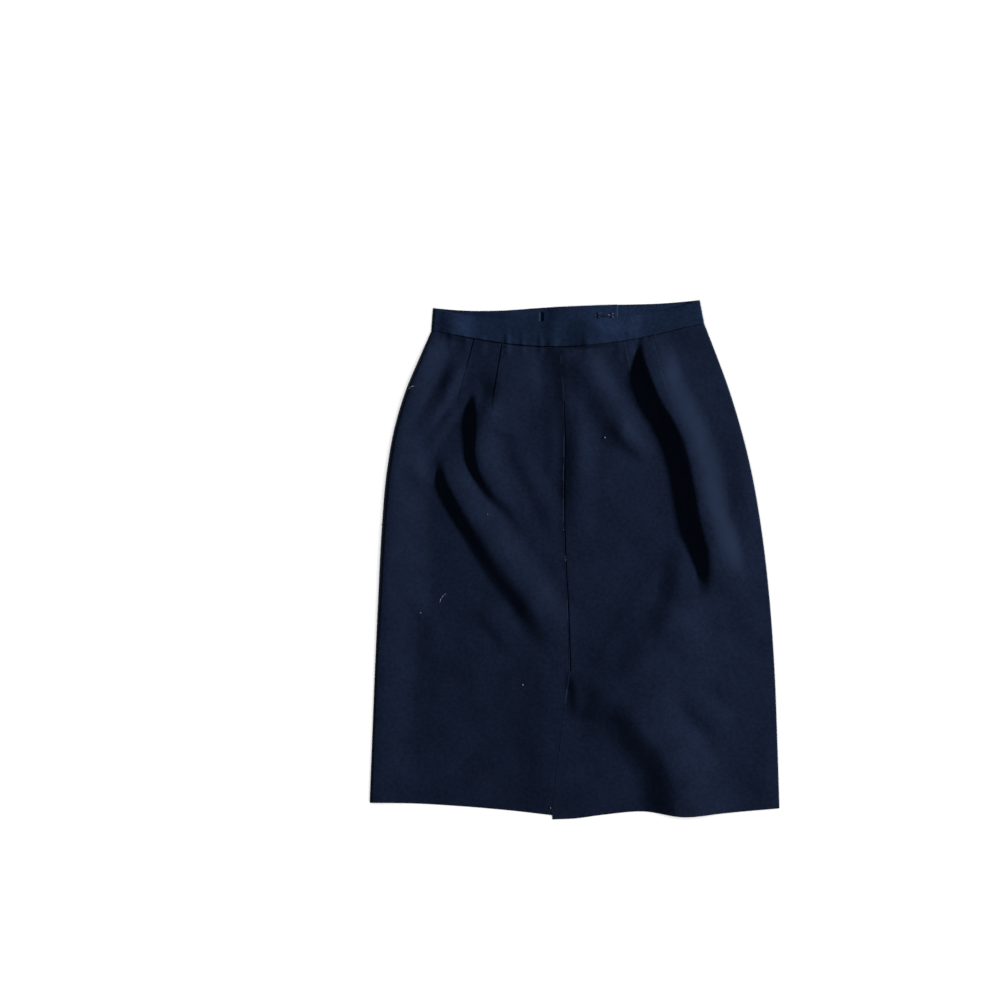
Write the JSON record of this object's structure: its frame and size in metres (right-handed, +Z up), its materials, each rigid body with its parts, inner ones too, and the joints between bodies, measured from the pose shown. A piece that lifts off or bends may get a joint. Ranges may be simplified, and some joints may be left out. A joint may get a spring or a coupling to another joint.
{
  "type": "pencil skirt",
  "caption": "Plain knee-length pencil skirt lying flat, with a waistband, darts, a centre seam and an overlapped vent at the hem.",
  "frame": {"origin": "on the surface that the skirt lies on, under the middle of its outline", "axes": "+X to the right across the front, +Y from the hem up to the waist, +Z up out of the front"},
  "size_m": [0.532, 0.6746, 0.0181],
  "materials": {
    "front_wool": "fine navy wool suiting with a slight nap",
    "back_wool": "fine navy wool suiting with a slight nap",
    "band_wool": "fine navy wool suiting, pressed flat",
    "zip_cloth": "woven navy tape",
    "zip_metal": "dark enamel",
    "wire_metal": "wire with a dark blue-grey lacquer"
  },
  "bodies": {
    "root": {"front_left": "front_wool", "front_right": "front_wool", "back_left": "back_wool", "back_right": "back_wool", "waistband": "band_wool", "zip_tape": "zip_cloth", "zip_slider": "zip_metal", "hook": "wire_metal", "eye": "wire_metal"}
  },
  "joints": []
}
